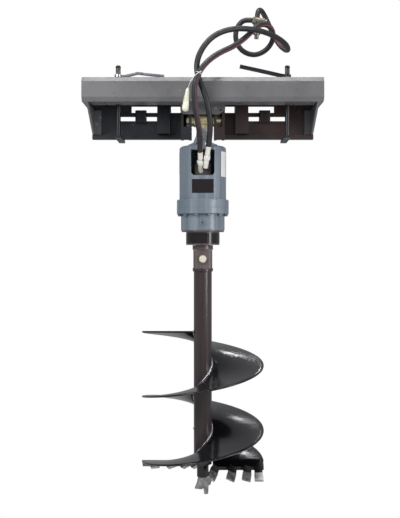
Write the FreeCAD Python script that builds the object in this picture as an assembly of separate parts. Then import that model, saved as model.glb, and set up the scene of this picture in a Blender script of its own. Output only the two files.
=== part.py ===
import FreeCAD, Part
import math
import os

# Hydraulic earth auger drive on a quick-attach mount frame. Millimetres.
# The origin is on the rear face of the coupler plate, +Z up, +Y towards the loader, +X to the right.
# Everything below the hanger is turned about a vertical axis that lies drive_y in front of that face.

V = FreeCAD.Vector
os.makedirs("parts", exist_ok=True)

# ---------------------------------------------------------------- driving sizes
drive_y = -100.0            # auger axis, measured from the rear face of the coupler plate

# mount frame
frame_half = 573.0          # half the width of the beam
plate_thick = 10.0          # coupler plate
skin = 8.0                  # bent plate of the beam
beam_front = -260.0
beam_top = 146.0
beam_low = 30.0
bevel_in = 15.0
bevel_top = 22.0
bevel_low = 19.0
flange_back = -155.0        # rear edge of the beam's lower flange
plate_low = -94.0           # lower edge of the coupler plate
side_inset = 20.0           # side plates stand in from the ends of the beam
side_half = frame_half - side_inset
side_thick = 10.0
side_foot = 34.0            # depth of a side plate at its foot
corner_flange = 30.0
rail_high = 23.0
rail_deep = 30.0
window_top = 51.0           # upper row of windows
window_high = 32.0
inner_window = (112.0, 160.0)
outer_window = (227.0, 360.0)
slot_top = -1.0             # lower row
slot_high = 22.0
slot_span = (232.0, 438.0)
throat_half = 55.0          # open throat between the hanger ears
throat_top = -34.0
stiffener_span = (162.0, 227.0)
stiffener_deep = 58.0
stiffener_wall = 8.0
lug_mid = 311.0             # stop lugs on the plate
lug_wide = 56.0
lug_deep = 34.0
lug_z = (-34.0, 26.0)
rib_at = 410.0              # lock rods, from the middle
lock_y = -160.0

# hanger
ear_inner = 55.0
ear_outer = 106.0
ear_wall = 12.0
ear_front = -145.0
ear_low = -136.0
cover_half = 109.0
cover_thick = 12.0
cover_low = -14.0
cover_corner = 24.0
upper_pin_z = -36.0
upper_pin_d = 38.0
lower_pin_z = -112.0
lower_pin_d = 32.0
pin_clear = 0.05            # radial running clearance of the pins
gap = 0.4                   # side clearance between moving faces
latch_reach = 20.0
latch_thick = 12.0
barrel_d = 64.0
barrel_half = 44.0
eye_r = 33.0
eye_thick = 40.0
shank_wide = 56.0
lug_thick = 17.0
collar_d = 58.0
pin_head_d = 54.0
pin_head_thick = 13.0
pin_nut_flats = 50.0
pin_nut_thick = 20.0
ear_window_z = (-72.0, -4.0)  # opening in the front of an ear that gives access to the pin's nut

# lock levers
rod_d = 24.0
rod_low = -131.0
rod_top = 220.0
boss_d = 38.0               # guide bosses on the beam
lever_lift = 18.0
hub_d = 36.0
hub_high = 12.0
lever_wide = 26.0
stud_d = 15.0
nut_flats = 18.0
nut_thick = 6.0
washer_thick = 2.5
spring_wire = 3.5
spring_d = 21.5             # mean coil diameter
spring_turns = 6

# drive housing
bell_r = 115.0
bell_wall = 18.0
bell_top = -168.0
bell_low = -428.0
roof_thick = 14.0
shoulder_r = 12.0
pad_y = -102.0              # flat pad on the front of the bell
window_half = 56.0
bell_window = (-314.0, -191.0)
window_corner = 18.0
flange_mid = -468.0
flange_low = -498.0
bolt_count = 12
bolt_d = 10.0
head_d = 16.0
head_high = 9.0
yoke_foot = 71.0            # half width of the yoke where it meets the roof
yoke_neck = 47.0
label_wide = 104.0
label_high = 66.0
label_z = -366.0
label_thick = 1.5

# hydraulic motor
port_block_half = 43.0
port_block_y = (-62.0, 46.0)
port_block_z = (-312.0, -256.0)
gerotor_r = 50.0
motor_bolt_r = 40.0
fitting_d = 30.0

# planetary gears
module = 4.0
sun_teeth = 12
planet_teeth = 15
ring_teeth = sun_teeth + 2 * planet_teeth
gear_low = -548.0
gear_high = 36.0
backlash = 0.35             # gap left on each flank
tooth_add = 0.8             # stub teeth, in modules
tooth_ded = 1.05
flank_angle = 25.0
planet_pin_d = 20.0
planet_bore_d = 20.2
body_r = 107.5              # ring gear body
body_low = -579.0
head_gap = 1.0
flange_rim = 10.0
bolt_circle = body_r + head_d / math.sqrt(3) + head_gap
flange_r = bolt_circle + flange_rim

# output end
nose_r = 82.0
nose_low = -649.0
nose_bore = 58.0
shaft_d = 70.0
collar_r = 50.5
shaft_collar_low = -673.0
hex_flats = 50.8
socket_clear = 0.4
hub_side = 93.0
hub_corner = 20.0
hub_low = -764.0
hub_gap = 1.0
hub_pin_z = -717.0
hub_pin_d = 19.0
hub_head_d = 36.0
hub_head_thick = 10.0
boss_r = 26.0
boss_high = 4.0

# auger
stem_d = 88.9
stem_wall = 6.4
stem_low = -1725.0
weld_ring_r = 50.0
weld_ring_high = 14.0
flight_r = 300.0
flight_thick = 8.0
flight_pitch = 318.0
flight_turns = 2.0
flight_step = 7.5           # degrees between the rulings that a flight is drawn from
weld_gap = 0.1
flight_low = -1709.0
second_turn = 100.0         # degrees covered by the second flight
right_teeth = ((66.0, 36.0), (150.0, 23.0), (220.0, 15.0), (270.0, 0.0))  # radius and inward lean
left_teeth = ((50.0, 30.0), (101.0, 30.0), (167.0, 18.0), (244.0, 5.0))
holder_wide = 38.0
tooth_wide = 42.0
pilot_low = -1877.0
pilot_holder_d = 58.0
pilot_holder_low = -1788.0
pilot_thick = 13.0

# hydraulic hoses
hose_d = 27.0
ferrule_d = 25.0
coupler_d = 38.0
nipple_r = 11.5


# ---------------------------------------------------------------- helpers
def save(node, shape):
    shape.exportStep("parts/" + node + ".step")
    print(node, "solids", len(shape.Solids), "volume", round(shape.Volume))


def group(shapes):
    return Part.makeCompound(shapes)


def box(x, y, z):
    """A box between two corners, each size given as (low, high)."""
    return Part.makeBox(x[1] - x[0], y[1] - y[0], z[1] - z[0], V(x[0], y[0], z[0]))


def rod(radius, start, end):
    line = end.sub(start)
    return Part.makeCylinder(radius, line.Length, start, line)


def face_of(points):
    return Part.Face(Part.makePolygon(points + points[:1]))


def slab_x(points, x0, x1):
    """A plate cut to (y, z) points, from x0 to x1."""
    return face_of([V(x0, y, z) for y, z in points]).extrude(V(x1 - x0, 0, 0))


def slab_y(points, y0, y1):
    """A plate cut to (x, z) points, from y0 to y1."""
    return face_of([V(x, y0, z) for x, z in points]).extrude(V(0, y1 - y0, 0))


def slab_z(points, z0, z1):
    """A plate cut to (x, y) points, from z0 to z1."""
    return face_of([V(x, y, z0) for x, y in points]).extrude(V(0, 0, z1 - z0))


def turned(points):
    """A solid turned about the Z axis from (radius, z) points."""
    return face_of([V(r, 0, z) for r, z in points]).revolve(V(0, 0, 0), V(0, 0, 1), 360)


def on_axis(shape):
    """Moves what was drawn about the Z axis onto the auger axis."""
    return shape.translated(V(0, drive_y, 0))


def mirrored(shape):
    return shape.mirror(V(0, 0, 0), V(1, 0, 0))


def around(shape, count, start=0.0, centre=V(0, 0, 0)):
    """Copies spaced evenly about the Z axis."""
    step = 360.0 / count
    return [shape.rotated(centre, V(0, 0, 1), start + i * step) for i in range(count)]


def rounded(shape, radius, wanted):
    """Fillets the edges whose middle passes the test."""
    edges = [e for e in shape.Edges if wanted(e.CenterOfMass, e)]
    return shape.makeFillet(radius, edges)


def bent_plate(points, thick):
    """The (y, z) outline of a plate folded along open points, with its thickness on the left side."""
    inner = []
    last = len(points) - 1
    for i, (y, z) in enumerate(points):
        before = points[i - 1] if i else None
        after = points[i + 1] if i < last else None
        normals = []
        for a, b in ((before, (y, z)), ((y, z), after)):
            if a and b:
                run = math.hypot(b[0] - a[0], b[1] - a[1])
                normals.append((-(b[1] - a[1]) / run, (b[0] - a[0]) / run))
        if len(normals) == 1:
            normals = normals * 2
        (ny, nz), (my, mz) = normals
        scale = thick / (1 + ny * my + nz * mz)
        inner.append((y + (ny + my) * scale, z + (nz + mz) * scale))
    return points + inner[::-1]


def hexagon(flats):
    """The (x, y) corners of a hexagon with flats facing the front and the rear."""
    r = flats / math.sqrt(3)
    return [(r * math.cos(math.radians(60 * i)), r * math.sin(math.radians(60 * i))) for i in range(6)]


# ---------------------------------------------------------------- mount frame
plate_front = -plate_thick
lever_low = beam_top + lever_lift
cap_inner = frame_half - skin


def top_beam():
    outline = [
        (flange_back, beam_low),
        (beam_front + bevel_in, beam_low),
        (beam_front, beam_low + bevel_low),
        (beam_front, beam_top - bevel_top),
        (beam_front + bevel_in, beam_top),
        (0.0, beam_top),
    ]
    beam = slab_x(bent_plate(outline, -skin), -cap_inner, cap_inner)
    for side in (-1, 1):
        x = side * rib_at
        boss = rod(boss_d / 2, V(x, lock_y, beam_top), V(x, lock_y, lever_low - gap))
        hole = rod(rod_d / 2 + 1.0, V(x, lock_y, 0), V(x, lock_y, lever_low))
        beam = beam.fuse(boss).cut(hole)
    return beam


def beam_caps():
    """Plates that close the two ends of the beam, with the outline of the beam."""
    outline = [
        (flange_back, beam_low),
        (beam_front + bevel_in, beam_low),
        (beam_front, beam_low + bevel_low),
        (beam_front, beam_top - bevel_top),
        (beam_front + bevel_in, beam_top),
        (0.0, beam_top),
        (0.0, beam_low),
    ]
    cap = slab_x(outline, cap_inner, frame_half)
    return [mirrored(cap), cap]


def side_plate():
    """Web that slopes back to the foot, with a flange along the coupler plate."""
    web = slab_x(
        [
            (beam_front + bevel_in, beam_low),
            (plate_front, beam_low),
            (plate_front, plate_low),
            (plate_front - side_foot, plate_low),
        ],
        side_half - side_thick,
        side_half,
    )
    flange = box(
        (side_half - side_thick - corner_flange, side_half - side_thick),
        (plate_front - side_thick, plate_front),
        (plate_low, beam_low),
    )
    return web.fuse(flange).removeSplitter()


def coupler_plate():
    plate = box((-side_half, side_half), (plate_front, 0), (plate_low, beam_low))
    plate = plate.fuse(box((-cap_inner, cap_inner), (plate_front, 0), (beam_low, beam_top - skin)))
    plate = plate.removeSplitter()
    cut_y = (plate_front - 1, 1)
    for side in (-1, 1):
        for span, top, high in (
            (inner_window, window_top, window_high),
            (outer_window, window_top, window_high),
            (slot_span, slot_top, slot_high),
        ):
            x = sorted((side * span[0], side * span[1]))
            plate = plate.cut(box(x, cut_y, (top - high, top)))
    throat = box((-throat_half, throat_half), cut_y, (plate_low - 1, throat_top))
    return plate.cut(throat)


def bottom_rail():
    """Flat bar under the lower edge of the coupler plate, from the ear to past the side plate."""
    x = (ear_outer + gap, side_half + 3)
    return box(x, (-rail_deep, 0), (plate_low - rail_high, plate_low))


def stiffener():
    """Channel welded upright on the front of the coupler plate."""
    x0, x1 = stiffener_span
    z = (plate_low, beam_top - skin)
    channel = box((x0, x1), (plate_front - stiffener_deep, plate_front), z)
    hollow = box(
        (x0 + stiffener_wall, x1 - stiffener_wall),
        (plate_front - stiffener_deep + stiffener_wall, plate_front),
        (z[0] - 1, z[1] + 1),
    )
    return channel.cut(hollow)


def stop_lug():
    x = (lug_mid - lug_wide / 2, lug_mid + lug_wide / 2)
    lug = box(x, (plate_front - lug_deep, plate_front), lug_z)
    front = plate_front - lug_deep
    return rounded(lug, 8, lambda c, e: abs(c.y - front) < 0.1 and abs(e.tangentAt(e.FirstParameter).z) > 0.9)


cheek = ear_inner + ear_wall


def hanger_ear():
    """Channel with a front web; its inner cheek carries the upper pin."""
    outline = [
        (ear_front, beam_low),
        (ear_front, ear_low),
        (ear_front + 34, ear_low),
        (plate_front, plate_low - rail_high),
        (plate_front, beam_top - skin),
        (flange_back + gap, beam_top - skin),
        (flange_back + gap, beam_low),
    ]
    inner = slab_x(outline, ear_inner, ear_inner + ear_wall)
    outer = slab_x(outline, ear_outer - ear_wall, ear_outer)
    web = box((ear_inner, ear_outer), (ear_front, ear_front + ear_wall), (ear_low, beam_low))
    ear = inner.fuse([outer, web]).removeSplitter()
    pin = rod(upper_pin_d / 2 + pin_clear, V(0, drive_y, upper_pin_z), V(cheek + 1, drive_y, upper_pin_z))
    window = box((cheek, ear_outer - ear_wall), (ear_front - 1, ear_front + ear_wall + 1), ear_window_z)
    return ear.cut(pin).cut(window)


def hanger_cover():
    """Plate across the front of both ears, one lower corner round and the other cut off."""
    y = (ear_front - cover_thick, ear_front)
    plate = box((-cover_half, cover_half), y, (cover_low, beam_low))
    plate = rounded(plate, cover_corner, lambda c, e: c.x < -cover_half + 1 and abs(c.z - cover_low) < 0.1)
    corner = slab_y(
        [(cover_half - 28, cover_low), (cover_half, cover_low), (cover_half, cover_low + 22)],
        y[0] - 1,
        y[1] + 1,
    )
    hole = rod(4.5, V(86, y[0] - 1, 6), V(86, y[1] + 1, 6))
    return plate.cut(corner).cut(hole)


def upper_pin():
    """Bolt through the inner cheeks with a round head on the left."""
    end = cheek + pin_nut_thick + 4
    pin = rod(upper_pin_d / 2, V(-cheek, drive_y, upper_pin_z), V(end, drive_y, upper_pin_z))
    head = rod(pin_head_d / 2, V(-cheek - pin_head_thick, drive_y, upper_pin_z), V(-cheek, drive_y, upper_pin_z))
    return pin.fuse(head)


def pin_nut():
    """Nut inside the right ear."""
    corners = [(y + drive_y, z + upper_pin_z) for y, z in hexagon(pin_nut_flats)]
    nut = slab_x(corners, cheek, cheek + pin_nut_thick)
    bore = rod(upper_pin_d / 2 + pin_clear, V(0, drive_y, upper_pin_z), V(ear_outer, drive_y, upper_pin_z))
    return nut.cut(bore)


save("top_beam", top_beam())
save("beam_caps", group(beam_caps()))
save("side_plate_right", side_plate())
save("side_plate_left", mirrored(side_plate()))
save("coupler_plate", coupler_plate())
save("bottom_rails", group([bottom_rail(), mirrored(bottom_rail())]))
save("stiffeners", group([stiffener(), mirrored(stiffener())]))
save("stop_lugs", group([stop_lug(), mirrored(stop_lug())]))
save("hanger_ear_right", hanger_ear())
save("hanger_ear_left", mirrored(hanger_ear()))
save("hanger_cover", hanger_cover())
save("upper_pin", upper_pin())
save("pin_nut", pin_nut())


# ---------------------------------------------------------------- lock levers and rods
lever_top = lever_low + hub_high
spring_low = lever_top
spring_high = rod_top - nut_thick - washer_thick
rod_fit = 0.05
spring_lift = 1.2


def lock_lever(side, bends, thick):
    """Hub on the rod with a flat bar folded along (distance from rod, height) points."""
    outline = bent_plate([(side * (rib_at - out), lever_low + up) for out, up in bends], -side * thick)
    arm = slab_y(outline, lock_y - lever_wide / 2, lock_y + lever_wide / 2)
    middle = V(side * rib_at, lock_y, lever_low)
    hub = rod(hub_d / 2, middle, middle.add(V(0, 0, hub_high)))
    bore = rod(rod_d / 2 + rod_fit, middle.sub(V(0, 0, 1)), middle.add(V(0, 0, 3 * hub_high)))
    return arm.fuse(hub).cut(bore).removeSplitter()


def lock_rod(side):
    """Rod with a latch bar at its foot that reaches under the coupler, and a thinner stud with a nut on top."""
    x = side * rib_at
    shank = rod(rod_d / 2, V(x, lock_y, rod_low), V(x, lock_y, lever_top - rod_fit))
    stud = rod(stud_d / 2, V(x, lock_y, lever_top - rod_fit), V(x, lock_y, rod_top))
    washer = rod((spring_d + spring_wire) / 2 + 1, V(x, lock_y, spring_high), V(x, lock_y, rod_top - nut_thick))
    nut = slab_z(hexagon(nut_flats), rod_top - nut_thick, rod_top).translated(V(x, lock_y, 0))
    half = rod_d / 2 + 3
    latch = box((x - half, x + half), (lock_y - half, latch_reach), (rod_low, rod_low + latch_thick))
    return shank.fuse([stud, washer, nut, latch]).removeSplitter()


def lock_spring(side):
    """Round coils of square wire between the lever hub and the washer."""
    per_turn = 12
    rise = spring_high - spring_low - spring_wire - 2 * spring_lift
    count = spring_turns * per_turn
    path = []
    for i in range(count + 1):
        turn = 2 * math.pi * i / per_turn
        path.append(V(spring_d / 2 * math.cos(turn), spring_d / 2 * math.sin(turn), rise * i / count))
    half = spring_wire / 2
    section = Part.makePolygon([
        V(spring_d / 2 - half, 0, -half),
        V(spring_d / 2 + half, 0, -half),
        V(spring_d / 2 + half, 0, half),
        V(spring_d / 2 - half, 0, half),
        V(spring_d / 2 - half, 0, -half),
    ])
    coil = Part.makePolygon(path).makePipeShell([section], True, True, 1)
    return coil.translated(V(side * rib_at, lock_y, spring_low + half + spring_lift))


left_bends = [(17, 0), (38, 1), (95, 15), (150, 8), (222, 1)]
right_bends = [(17, 0), (30, 1), (117, 21), (232, 46)]
save("lock_lever_left", lock_lever(-1, left_bends, 9.0))
save("lock_lever_right", lock_lever(1, right_bends, 14.0))
for name, side in (("left", -1), ("right", 1)):
    save("lock_rod_" + name, lock_rod(side))
    save("lock_spring_" + name, lock_spring(side))


# ---------------------------------------------------------------- hanger
def swivel_link():
    """Cross link: a barrel on the upper pin and, square to it, an eye on the lower pin."""
    top = V(0, 0, upper_pin_z)
    low = V(0, 0, lower_pin_z)
    barrel = rod(barrel_d / 2, top.sub(V(barrel_half, 0, 0)), top.add(V(barrel_half, 0, 0)))
    eye = rod(eye_r, low.sub(V(0, eye_thick / 2, 0)), low.add(V(0, eye_thick / 2, 0)))
    half = eye_thick / 2
    shank = box((-shank_wide / 2, shank_wide / 2), (-half, half), (lower_pin_z, upper_pin_z))
    upper_bore = rod(upper_pin_d / 2 + pin_clear, top.sub(V(99, 0, 0)), top.add(V(99, 0, 0)))
    lower_bore = rod(lower_pin_d / 2 + pin_clear, low.sub(V(0, 99, 0)), low.add(V(0, 99, 0)))
    link = barrel.fuse([eye, shank]).cut(upper_bore).cut(lower_bore)
    return on_axis(link.removeSplitter())


def pin_collars():
    """Spacers on the upper pin between the link and the ears."""
    spacers = []
    for x0, x1 in ((barrel_half + gap, ear_inner - 0.1), (-ear_inner + 0.1, -barrel_half - gap)):
        ring = rod(collar_d / 2, V(x0, drive_y, upper_pin_z), V(x1, drive_y, upper_pin_z))
        bore = rod(upper_pin_d / 2 + pin_clear, V(x0 - 1, drive_y, upper_pin_z), V(x1 + 1, drive_y, upper_pin_z))
        spacers.append(ring.cut(bore))
    return spacers


lug_y0 = eye_thick / 2 + gap
lug_y1 = lug_y0 + lug_thick


def drive_yoke():
    """Two A-shaped lugs on a foot plate, welded to the roof of the housing."""
    low = V(0, 0, lower_pin_z)
    foot_z = bell_top + 8
    neck_z = bell_top + 18
    lugs = []
    for y0, y1 in ((lug_y0, lug_y1), (-lug_y1, -lug_y0)):
        outline = [
            (-yoke_foot, bell_top),
            (yoke_foot, bell_top),
            (yoke_foot, foot_z),
            (yoke_neck, neck_z),
            (eye_r - 2, lower_pin_z),
            (-eye_r + 2, lower_pin_z),
            (-yoke_neck, neck_z),
            (-yoke_foot, foot_z),
        ]
        lug = slab_y(outline, y0, y1).fuse(rod(eye_r, V(0, y0, lower_pin_z), V(0, y1, lower_pin_z)))
        for side in (-1, 1):
            gusset = [(side * 9, foot_z), (side * 43, foot_z), (side * 14, foot_z + 24)]
            if side < 0:
                gusset.reverse()
            lug = lug.cut(slab_y(gusset, y0 - 1, y1 + 1))
        lugs.append(lug)
    foot = box((-yoke_foot, yoke_foot), (-lug_y1 - 10, lug_y1 + 10), (bell_top, foot_z))
    bore = rod(lower_pin_d / 2 + pin_clear, low.sub(V(0, 99, 0)), low.add(V(0, 99, 0)))
    return on_axis(lugs[0].fuse([lugs[1], foot]).cut(bore).removeSplitter())


def lower_pin():
    """Pin with a round head in front and a snap ring behind."""
    low = V(0, 0, lower_pin_z)
    pin = rod(lower_pin_d / 2, low.sub(V(0, lug_y1 + gap, 0)), low.add(V(0, lug_y1 + 9, 0)))
    head = rod(lower_pin_d / 2 + 5, low.sub(V(0, lug_y1 + gap + 6, 0)), low.sub(V(0, lug_y1 + gap, 0)))
    clip = rod(lower_pin_d / 2 + 3, low.add(V(0, lug_y1 + gap, 0)), low.add(V(0, lug_y1 + gap + 3, 0)))
    return on_axis(pin.fuse([head, clip]).removeSplitter())


save("swivel_link", swivel_link())
save("pin_collars", group(pin_collars()))
save("drive_yoke", drive_yoke())
save("lower_pin", lower_pin())


# ---------------------------------------------------------------- drive housing and motor
def drive_housing():
    """Bell with a flat front pad, a service window in it and a bolting flange below."""
    inner_r = bell_r - bell_wall
    bell = rod(bell_r, V(0, 0, bell_low), V(0, 0, bell_top))
    bell = bell.makeFillet(shoulder_r, [e for e in bell.Edges if abs(e.CenterOfMass.z - bell_top) < 0.1])
    pad = box((-bell_r, bell_r), (-bell_r - 1, pad_y), (bell_low, bell_top + 1))
    flange = rod(flange_r, V(0, 0, flange_mid), V(0, 0, bell_low))
    flange = flange.makeChamfer(3, [e for e in flange.Edges if abs(e.CenterOfMass.z - bell_low) < 0.1])
    hollow = rod(inner_r, V(0, 0, flange_mid), V(0, 0, bell_top - roof_thick))
    z0, z1 = bell_window
    window = box((-window_half, window_half), (-bell_r - 5, -inner_r / 2), (z0, z1))
    window = rounded(window, window_corner, lambda c, e: abs(c.z - z0) < 0.1 and abs(c.x) > window_half - 1)
    housing = bell.cut(pad).fuse(flange).cut(hollow).cut(window)
    for hole in bolt_holes():
        housing = housing.cut(hole)
    return on_axis(housing.removeSplitter())


def bolt_holes():
    hole = rod(bolt_d / 2 + 0.5, V(bolt_circle, 0, flange_low - 1), V(bolt_circle, 0, bell_low + 1))
    return around(hole, bolt_count, 180.0 / bolt_count)


def flange_bolts():
    """Bolts up through the gear body into the housing, heads below."""
    shank = rod(bolt_d / 2, V(bolt_circle, 0, flange_low), V(bolt_circle, 0, bell_low - 6))
    head = slab_z(hexagon(head_d), flange_low - head_high, flange_low).translated(V(bolt_circle, 0, 0))
    bolt = on_axis(shank.fuse(head))
    return around(bolt, bolt_count, 180.0 / bolt_count, V(0, drive_y, 0))


def label_plate():
    z0 = label_z - label_high / 2
    plate = box((-label_wide / 2, label_wide / 2), (pad_y - label_thick, pad_y), (z0, z0 + label_high))
    return on_axis(plate)


def motor_port_block():
    x = (-port_block_half, port_block_half)
    block = box(x, port_block_y, port_block_z)
    block = rounded(block, 10, lambda c, e: abs(abs(c.x) - port_block_half) < 0.1 and e.Length > 50
                    and abs(e.tangentAt(e.FirstParameter).z) > 0.9)
    return on_axis(block)


cover_top = flange_mid + 16.0


def motor_gerotor():
    """Round motor body with four bosses for its long bolts."""
    z0, z1 = cover_top, port_block_z[0]
    body = rod(gerotor_r, V(0, 0, z0), V(0, 0, z1))
    boss = rod(11, V(motor_bolt_r, 0, z0), V(motor_bolt_r, 0, z1))
    body = body.fuse(around(boss, 4, 45.0))
    socket = rod(14.1, V(0, 0, z0 - 1), V(0, 0, z0 + 50))
    return on_axis(body.cut(socket).removeSplitter())


def motor_flange():
    """Cover between motor and gears; it sits on the gear body inside the bell."""
    plate = rod(bell_r - bell_wall - 0.5, V(0, 0, flange_mid), V(0, 0, cover_top))
    return on_axis(plate.cut(rod(14.1, V(0, 0, flange_mid - 1), V(0, 0, cover_top + 1))))


save("drive_housing", drive_housing())
save("flange_bolts", group(flange_bolts()))
save("label_plate", label_plate())
save("motor_port_block", motor_port_block())
save("motor_gerotor", motor_gerotor())
save("motor_flange", motor_flange())


# ---------------------------------------------------------------- planetary gears
def flank_points(teeth, tip, root, side_gap):
    """(x, y) outline of a gear with involute flanks, one tooth centred on the +X axis."""
    pitch_r = module * teeth / 2
    base_r = pitch_r * math.cos(math.radians(flank_angle))
    at_pitch = math.radians(flank_angle)
    half_tooth = math.pi / (2 * teeth) - side_gap / pitch_r
    tip_r = pitch_r + tip
    root_r = pitch_r - root
    flank = []
    for r in (root_r, pitch_r, tip_r):
        roll = math.acos(min(1.0, base_r / r))
        lean = math.tan(at_pitch) - at_pitch - math.tan(roll) + roll
        flank.append((r, half_tooth + lean))
    points = []
    for i in range(teeth):
        middle = 2 * math.pi * i / teeth
        for r, half in flank:
            points.append((r * math.cos(middle - half), r * math.sin(middle - half)))
        for r, half in reversed(flank):
            points.append((r * math.cos(middle + half), r * math.sin(middle + half)))
    return points


gear_top = gear_low + gear_high
planet_orbit = module * (sun_teeth + planet_teeth) / 2
carrier_gap = 2.0


def gear(teeth):
    outline = flank_points(teeth, tooth_add * module, tooth_ded * module, backlash)
    return slab_z(outline, gear_low, gear_top)


def sun_gear():
    """Sun gear in one piece with the motor's shaft."""
    shaft = rod(14.0, V(0, 0, gear_top), V(0, 0, cover_top + 48))
    return on_axis(gear(sun_teeth).fuse(shaft).removeSplitter())


def planet_gear(angle):
    """One planet; it turns a tooth gap towards the sun."""
    bore = rod(planet_bore_d / 2, V(0, 0, gear_low - 1), V(0, 0, gear_top + 1))
    wheel = gear(planet_teeth).cut(bore)
    wheel = wheel.translated(V(planet_orbit, 0, 0))
    return on_axis(wheel.rotated(V(0, 0, 0), V(0, 0, 1), angle))


def ring_gear_housing():
    """Gear body with the toothed bore and the bolting flange."""
    body = rod(body_r, V(0, 0, body_low), V(0, 0, flange_mid))
    body = body.makeChamfer(3, [e for e in body.Edges if abs(e.CenterOfMass.z - body_low) < 0.1])
    flange = rod(flange_r, V(0, 0, flange_low), V(0, 0, flange_mid))
    bore = flank_points(ring_teeth, tooth_ded * module, tooth_add * module, -backlash)
    body = body.fuse(flange).cut(slab_z(bore, body_low - 1, flange_mid + 1))
    for hole in bolt_holes():
        body = body.cut(hole)
    boss = rod(15, V(0, -body_r + 6, plug_z), V(0, -body_r - 2.5, plug_z))
    port = rod(7, V(0, -body_r + 4.6, plug_z), V(0, -body_r - 4, plug_z))
    return on_axis(body.fuse(boss).cut(port).removeSplitter())


def oil_plug():
    """Socket-head plug in the gear body."""
    head = rod(7 - 0.1, V(0, -body_r + 4.5, plug_z), V(0, -body_r - 5, plug_z))
    socket = face_of([V(x, -body_r - 1, plug_z + z) for x, z in hexagon(7)]).extrude(V(0, -6, 0))
    return on_axis(head.cut(socket))


plug_z = -541.0
save("sun_gear", sun_gear())
for number in range(3):
    save("planet_gear_" + str(number + 1), planet_gear(120 * number))
save("ring_gear_housing", ring_gear_housing())
save("oil_plug", oil_plug())


# ---------------------------------------------------------------- output end
seal_high = 10.0
bearing_high = 22.0
housing_plate = 6.0


def output_housing():
    """Nose with the bearing bore, a lip at the bottom and a plate that closes the gear body."""
    low_r = shaft_d / 2 + 2.0
    return on_axis(turned([
        (nose_bore, body_low),
        (body_r - 3, body_low),
        (body_r - 3, body_low - housing_plate),
        (nose_r, body_low - housing_plate),
        (nose_r, nose_low),
        (low_r, nose_low),
        (low_r, nose_low + 4),
        (nose_bore, nose_low + 4),
    ]))


def ring(outer_r, inner_r, z0, z1):
    return turned([(inner_r, z0), (outer_r, z0), (outer_r, z1), (inner_r, z1)])


def output_bearings():
    """Two tapered roller bearings, each as one closed ring."""
    outer = nose_bore - 0.05
    inner = shaft_d / 2 + 0.05
    low = nose_low + 4 + seal_high
    return [on_axis(ring(outer, inner, z, z + bearing_high)) for z in (low, body_low - bearing_high)]


def shaft_seal():
    low = nose_low + 4
    return on_axis(ring(nose_bore - 0.05, shaft_d / 2 + 0.1, low, low + seal_high - 0.5))


def planet_carrier():
    """Disc on the output shaft with three planet pins."""
    top = gear_low - carrier_gap
    disc = rod(78, V(0, 0, top - 14), V(0, 0, top))
    pins = []
    for angle in (0, 120, 240):
        pin = rod(planet_pin_d / 2, V(planet_orbit, 0, top), V(planet_orbit, 0, gear_top + 4))
        washer = rod(planet_pin_d / 2 + 5, V(planet_orbit, 0, top), V(planet_orbit, 0, gear_low - 0.4))
        pins.append(pin.fuse(washer).rotated(V(0, 0, 0), V(0, 0, 1), angle))
    return on_axis(disc.fuse(pins).removeSplitter())


shaft_top = gear_low - carrier_gap - 14
hex_low = hub_low + 8


def output_shaft():
    """Round in the bearings, a collar under the nose, then the hexagon that drives the auger hub."""
    round_part = rod(shaft_d / 2, V(0, 0, nose_low - hub_gap), V(0, 0, shaft_top))
    collar = rod(collar_r, V(0, 0, shaft_collar_low), V(0, 0, nose_low - hub_gap))
    drive_hex = slab_z(hexagon(hex_flats), hex_low, shaft_collar_low)
    cross = rod(hub_pin_d / 2 + 0.1, V(0, -99, hub_pin_z), V(0, 99, hub_pin_z))
    return on_axis(round_part.fuse([collar, drive_hex]).cut(cross).removeSplitter())


def auger_hub():
    """Square socket with round corners and a boss round each end of the pin."""
    half = hub_side / 2
    top = shaft_collar_low - hub_gap
    block = box((-half, half), (-half, half), (hub_low, top))
    block = rounded(block, hub_corner, lambda c, e: e.Length > 50 and abs(abs(c.x) - half) < 0.1
                    and abs(abs(c.y) - half) < 0.1)
    boss = rod(boss_r, V(0, -half - boss_high, hub_pin_z), V(0, half + boss_high, hub_pin_z))
    socket = slab_z(hexagon(hex_flats + 2 * socket_clear), hex_low - 2, top + 1)
    cross = rod(hub_pin_d / 2 + 0.1, V(0, -99, hub_pin_z), V(0, 99, hub_pin_z))
    return on_axis(block.fuse(boss).cut(socket).cut(cross).removeSplitter())


hub_face = hub_side / 2 + boss_high


def hub_pin():
    start = V(0, -hub_face - hub_head_thick, hub_pin_z)
    head = rod(hub_head_d / 2, start, V(0, -hub_face, hub_pin_z))
    head = head.makeChamfer(3, [e for e in head.Edges if abs(e.CenterOfMass.y - start.y) < 0.1])
    shank = rod(hub_pin_d / 2, V(0, -hub_face, hub_pin_z), V(0, hub_face + 16, hub_pin_z))
    hole = rod(3.2, V(-20, hub_face + 6, hub_pin_z), V(20, hub_face + 6, hub_pin_z))
    return on_axis(head.fuse(shank).cut(hole).removeSplitter())


def hub_clip():
    """Straight clip through the tail of the hub pin, with its bail turned down."""
    leg = rod(3, V(-20, hub_face + 6, hub_pin_z), V(24, hub_face + 6, hub_pin_z))
    bail = rod(3, V(21, hub_face + 6, hub_pin_z), V(21, hub_face + 6, hub_pin_z - 34))
    return on_axis(leg.fuse(bail).removeSplitter())


save("output_housing", output_housing())
save("output_bearings", group(output_bearings()))
save("shaft_seal", shaft_seal())
save("planet_carrier", planet_carrier())
save("output_shaft", output_shaft())
save("auger_hub", auger_hub())
save("hub_pin", hub_pin())
save("hub_clip", hub_clip())


# ---------------------------------------------------------------- auger
stem_r = stem_d / 2


def auger_stem():
    """Tube with a welded ring against the hub."""
    tube = ring(stem_r, stem_r - stem_wall, stem_low, hub_low)
    collar = turned([(stem_r, hub_low), (weld_ring_r, hub_low), (weld_ring_r, hub_low - weld_ring_high),
                     (stem_r, hub_low - weld_ring_high - 3)])
    return on_axis(tube.fuse(collar).removeSplitter())


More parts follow.
